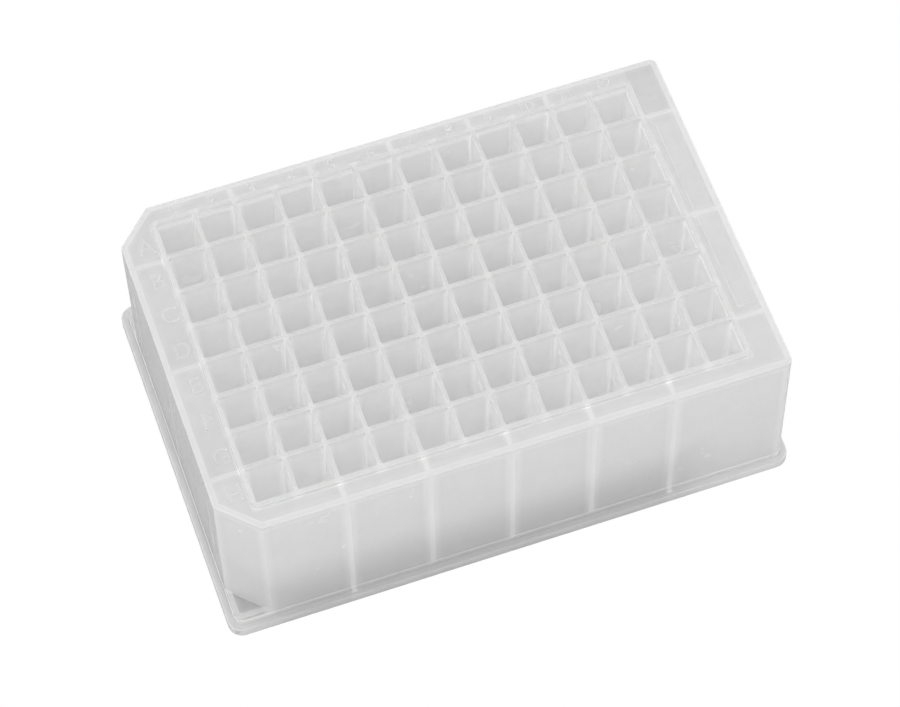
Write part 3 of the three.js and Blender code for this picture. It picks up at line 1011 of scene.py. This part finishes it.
class PLATE_OT_deck_marks(Operator):
    """Raise the row letters, the column numbers and the plain field on the deck"""

    bl_idname = "plate.deck_marks"
    bl_label = "Raise Deck Marks"
    bl_options = {"REGISTER", "UNDO"}

    def execute(self, context):
        plan = Plan(context.scene.plate)
        plate = bpy.data.objects["deep_well_plate"]
        plain = plate.data
        marked = join(plain.copy(), plain_field(plan), *letters(plan))
        plate.data = marked
        bpy.data.meshes.remove(plain)
        marked.name = "deep_well_plate"
        return {"FINISHED"}


class PLATE_OT_finish(Operator):
    """Give the plate its plastic and its smooth shading"""

    bl_idname = "plate.finish"
    bl_label = "Apply Finish"
    bl_options = {"REGISTER", "UNDO"}

    def execute(self, context):
        plate = bpy.data.objects["deep_well_plate"]
        plate.data.polygons.foreach_set("use_smooth", [True] * len(plate.data.polygons))
        plate.data.set_sharp_from_angle(angle=CRISP_ANGLE)
        weights = plate.modifiers.new("Flat faces stay flat", "WEIGHTED_NORMAL")
        weights.mode = "FACE_AREA"
        weights.keep_sharp = True
        plate.data.materials.clear()
        settings = context.scene.plate
        plate.data.materials.append(milky_polypropylene(settings.finish, Plan(settings)))
        return {"FINISHED"}


class PLATE_OT_studio(Operator):
    """Set the pale floor, the soft lights and the camera"""

    bl_idname = "plate.studio"
    bl_label = "Set Studio"
    bl_options = {"REGISTER", "UNDO"}

    def execute(self, context):
        studio = context.scene.plate.studio
        add_floor(context.scene, studio)
        add_surroundings(context.scene, studio)
        add_camera(context.scene, studio)
        return {"FINISHED"}


# ---- studio
SOFT, GLEAM = (32.0, 8.0), (18.0, 9.0)  # degrees to a patch's outer edge and to its full light
PATCHES = (  # name in the settings, azimuth, elevation, width
    ("left_front", -60.0, 52.0, SOFT),
    ("right_rear", 120.0, 22.0, SOFT),
    ("right_low", 60.0, 22.0, SOFT),
    ("left_gleam", -128.0, 30.0, GLEAM),
    ("front_gleam", 12.0, 42.0, GLEAM),
)
FIRST_BOUNCE = 1.5  # a look has bounced once if its depth is below this
LIGHT_BOUNCES = 64
COVER_MARGIN = 1.0 * MM  # keeps the covered panel inside the rounded corners of the flange
NEAR, FAR = 0.01, 20.0  # what the camera sees between


def add_floor(scene, studio):
    """A square floor in nine panels: the middle one is covered by the plate and is darker, a
    painted shadow.
    """
    half = studio.floor_size / 2
    low, high = CAD_BOX
    across = (-half, low.x + COVER_MARGIN, high.x - COVER_MARGIN, half)
    along = (-half, low.y + COVER_MARGIN, high.y - COVER_MARGIN, half)
    count = len(across)
    firsts = [row * count + step for row in range(count - 1) for step in range(count - 1)]
    panels = [(first, first + 1, first + count + 1, first + count) for first in firsts]
    mesh = bpy.data.meshes.new("floor")
    mesh.from_pydata([(x, y, 0.0) for y in along for x in across], [], panels)
    mesh.materials.append(floor_material("pale_floor", studio.floor_colour, studio.floor_white))
    # The middle panel under the plate is darker: a painted shadow.
    mesh.materials.append(floor_material("painted_shadow_floor", studio.covered_colour))
    mesh.polygons[len(panels) // 2].material_index = 1
    floor = bpy.data.objects.new("floor", mesh)
    floor.location.z = low.z
    scene.collection.objects.link(floor)
    floor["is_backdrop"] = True


def add_surroundings(scene, studio):
    """A white tent whose soft lights are brighter patches of its wall, so no shadow is hard."""
    world = bpy.data.worlds.new("white_tent")
    recipe = Recipe(world)
    facing = recipe.add("ShaderNodeTexCoord").outputs["Generated"]
    path = recipe.add("ShaderNodeLightPath").outputs
    early = recipe.maths("LESS_THAN", path["Ray Depth"], FIRST_BOUNCE)
    in_gloss = recipe.maths("MULTIPLY", path["Is Glossy Ray"], early)
    light = studio.air
    for name, azimuth, elevation, width in PATCHES:
        towards = direction(math.radians(azimuth), math.radians(elevation))
        nearness = recipe.add(
            "ShaderNodeVectorMath", {0: facing, 1: towards}, operation="DOT_PRODUCT"
        ).outputs["Value"]
        outer, inner = (math.cos(math.radians(degrees)) for degrees in width)
        patch = recipe.ranged(nearness, 0.0, getattr(studio, name), outer, inner, "SMOOTHSTEP")
        if width is GLEAM:
            patch = recipe.maths("MULTIPLY", patch, in_gloss)
        light = recipe.maths("ADD", patch, light)
    background = recipe.shader("ShaderNodeBackground", Strength=light)
    recipe.add("ShaderNodeOutputWorld", {"Surface": background})
    world.cycles.sampling_method = "NONE"
    scene.world = world
    scene.view_settings.view_transform = "Standard"
    for kind in ("max", "diffuse", "transmission", "transparent_max", "volume"):
        setattr(scene.cycles, f"{kind}_bounces", LIGHT_BOUNCES)


def direction(azimuth, elevation):
    """From the plate outwards; azimuth 0 is in front, a right angle is beside column 12."""
    level = math.cos(elevation)
    return Vector((math.sin(azimuth) * level, -math.cos(azimuth) * level, math.sin(elevation)))


def add_camera(scene, studio):
    data = bpy.data.cameras.new("camera")
    data.lens = studio.lens
    data.sensor_width = studio.sensor
    data.clip_start, data.clip_end = NEAR, FAR
    camera = bpy.data.objects.new("camera", data)
    back = direction(studio.azimuth, studio.elevation)
    camera.location = Vector(studio.aim) + back * studio.distance
    facing = (-back).to_track_quat("-Z", "Y").to_matrix()
    camera.rotation_euler = (facing @ Matrix.Rotation(-studio.roll, 3, "Z")).to_euler()
    scene.collection.objects.link(camera)
    scene.camera = camera


# ---- sidebar
class PLATE_PT_sidebar(Panel):
    """Lists the steps that build the plate"""

    bl_idname = "PLATE_PT_sidebar"
    bl_label = "Deep-well plate"
    bl_space_type = "VIEW_3D"
    bl_region_type = "UI"
    bl_category = "Well Plate"

    def draw(self, context):
        for operator in OPERATORS:
            self.layout.operator(operator.bl_idname)
        settings = context.scene.plate
        for name in PlateSettings.__annotations__:
            box = self.layout.box()
            group = getattr(settings, name)
            for key in group.__annotations__:
                box.prop(group, key)


GROUPS = (PlateShell, PlateWells, PlateRibs, PlateMarks, PlateFinish, PlateStudio, PlateSettings)
OPERATORS = (PLATE_OT_moulding, PLATE_OT_deck_marks, PLATE_OT_finish, PLATE_OT_studio)
CLASSES = (*GROUPS, *OPERATORS, PLATE_PT_sidebar)


def register():
    for each in CLASSES:
        bpy.utils.register_class(each)
    bpy.types.Scene.plate = PointerProperty(type=PlateSettings)


def unregister():
    del bpy.types.Scene.plate
    for each in reversed(CLASSES):
        bpy.utils.unregister_class(each)


def main():
    register()
    bpy.ops.plate.moulding()
    bpy.ops.plate.deck_marks()
    bpy.ops.plate.finish()
    bpy.ops.plate.studio()
    corners = {"cad": CAD_BOX, "visual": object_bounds()}
    {name: [list(corner) for corner in box] for name, box in corners.items()}


if __name__ == "__main__":
    main()
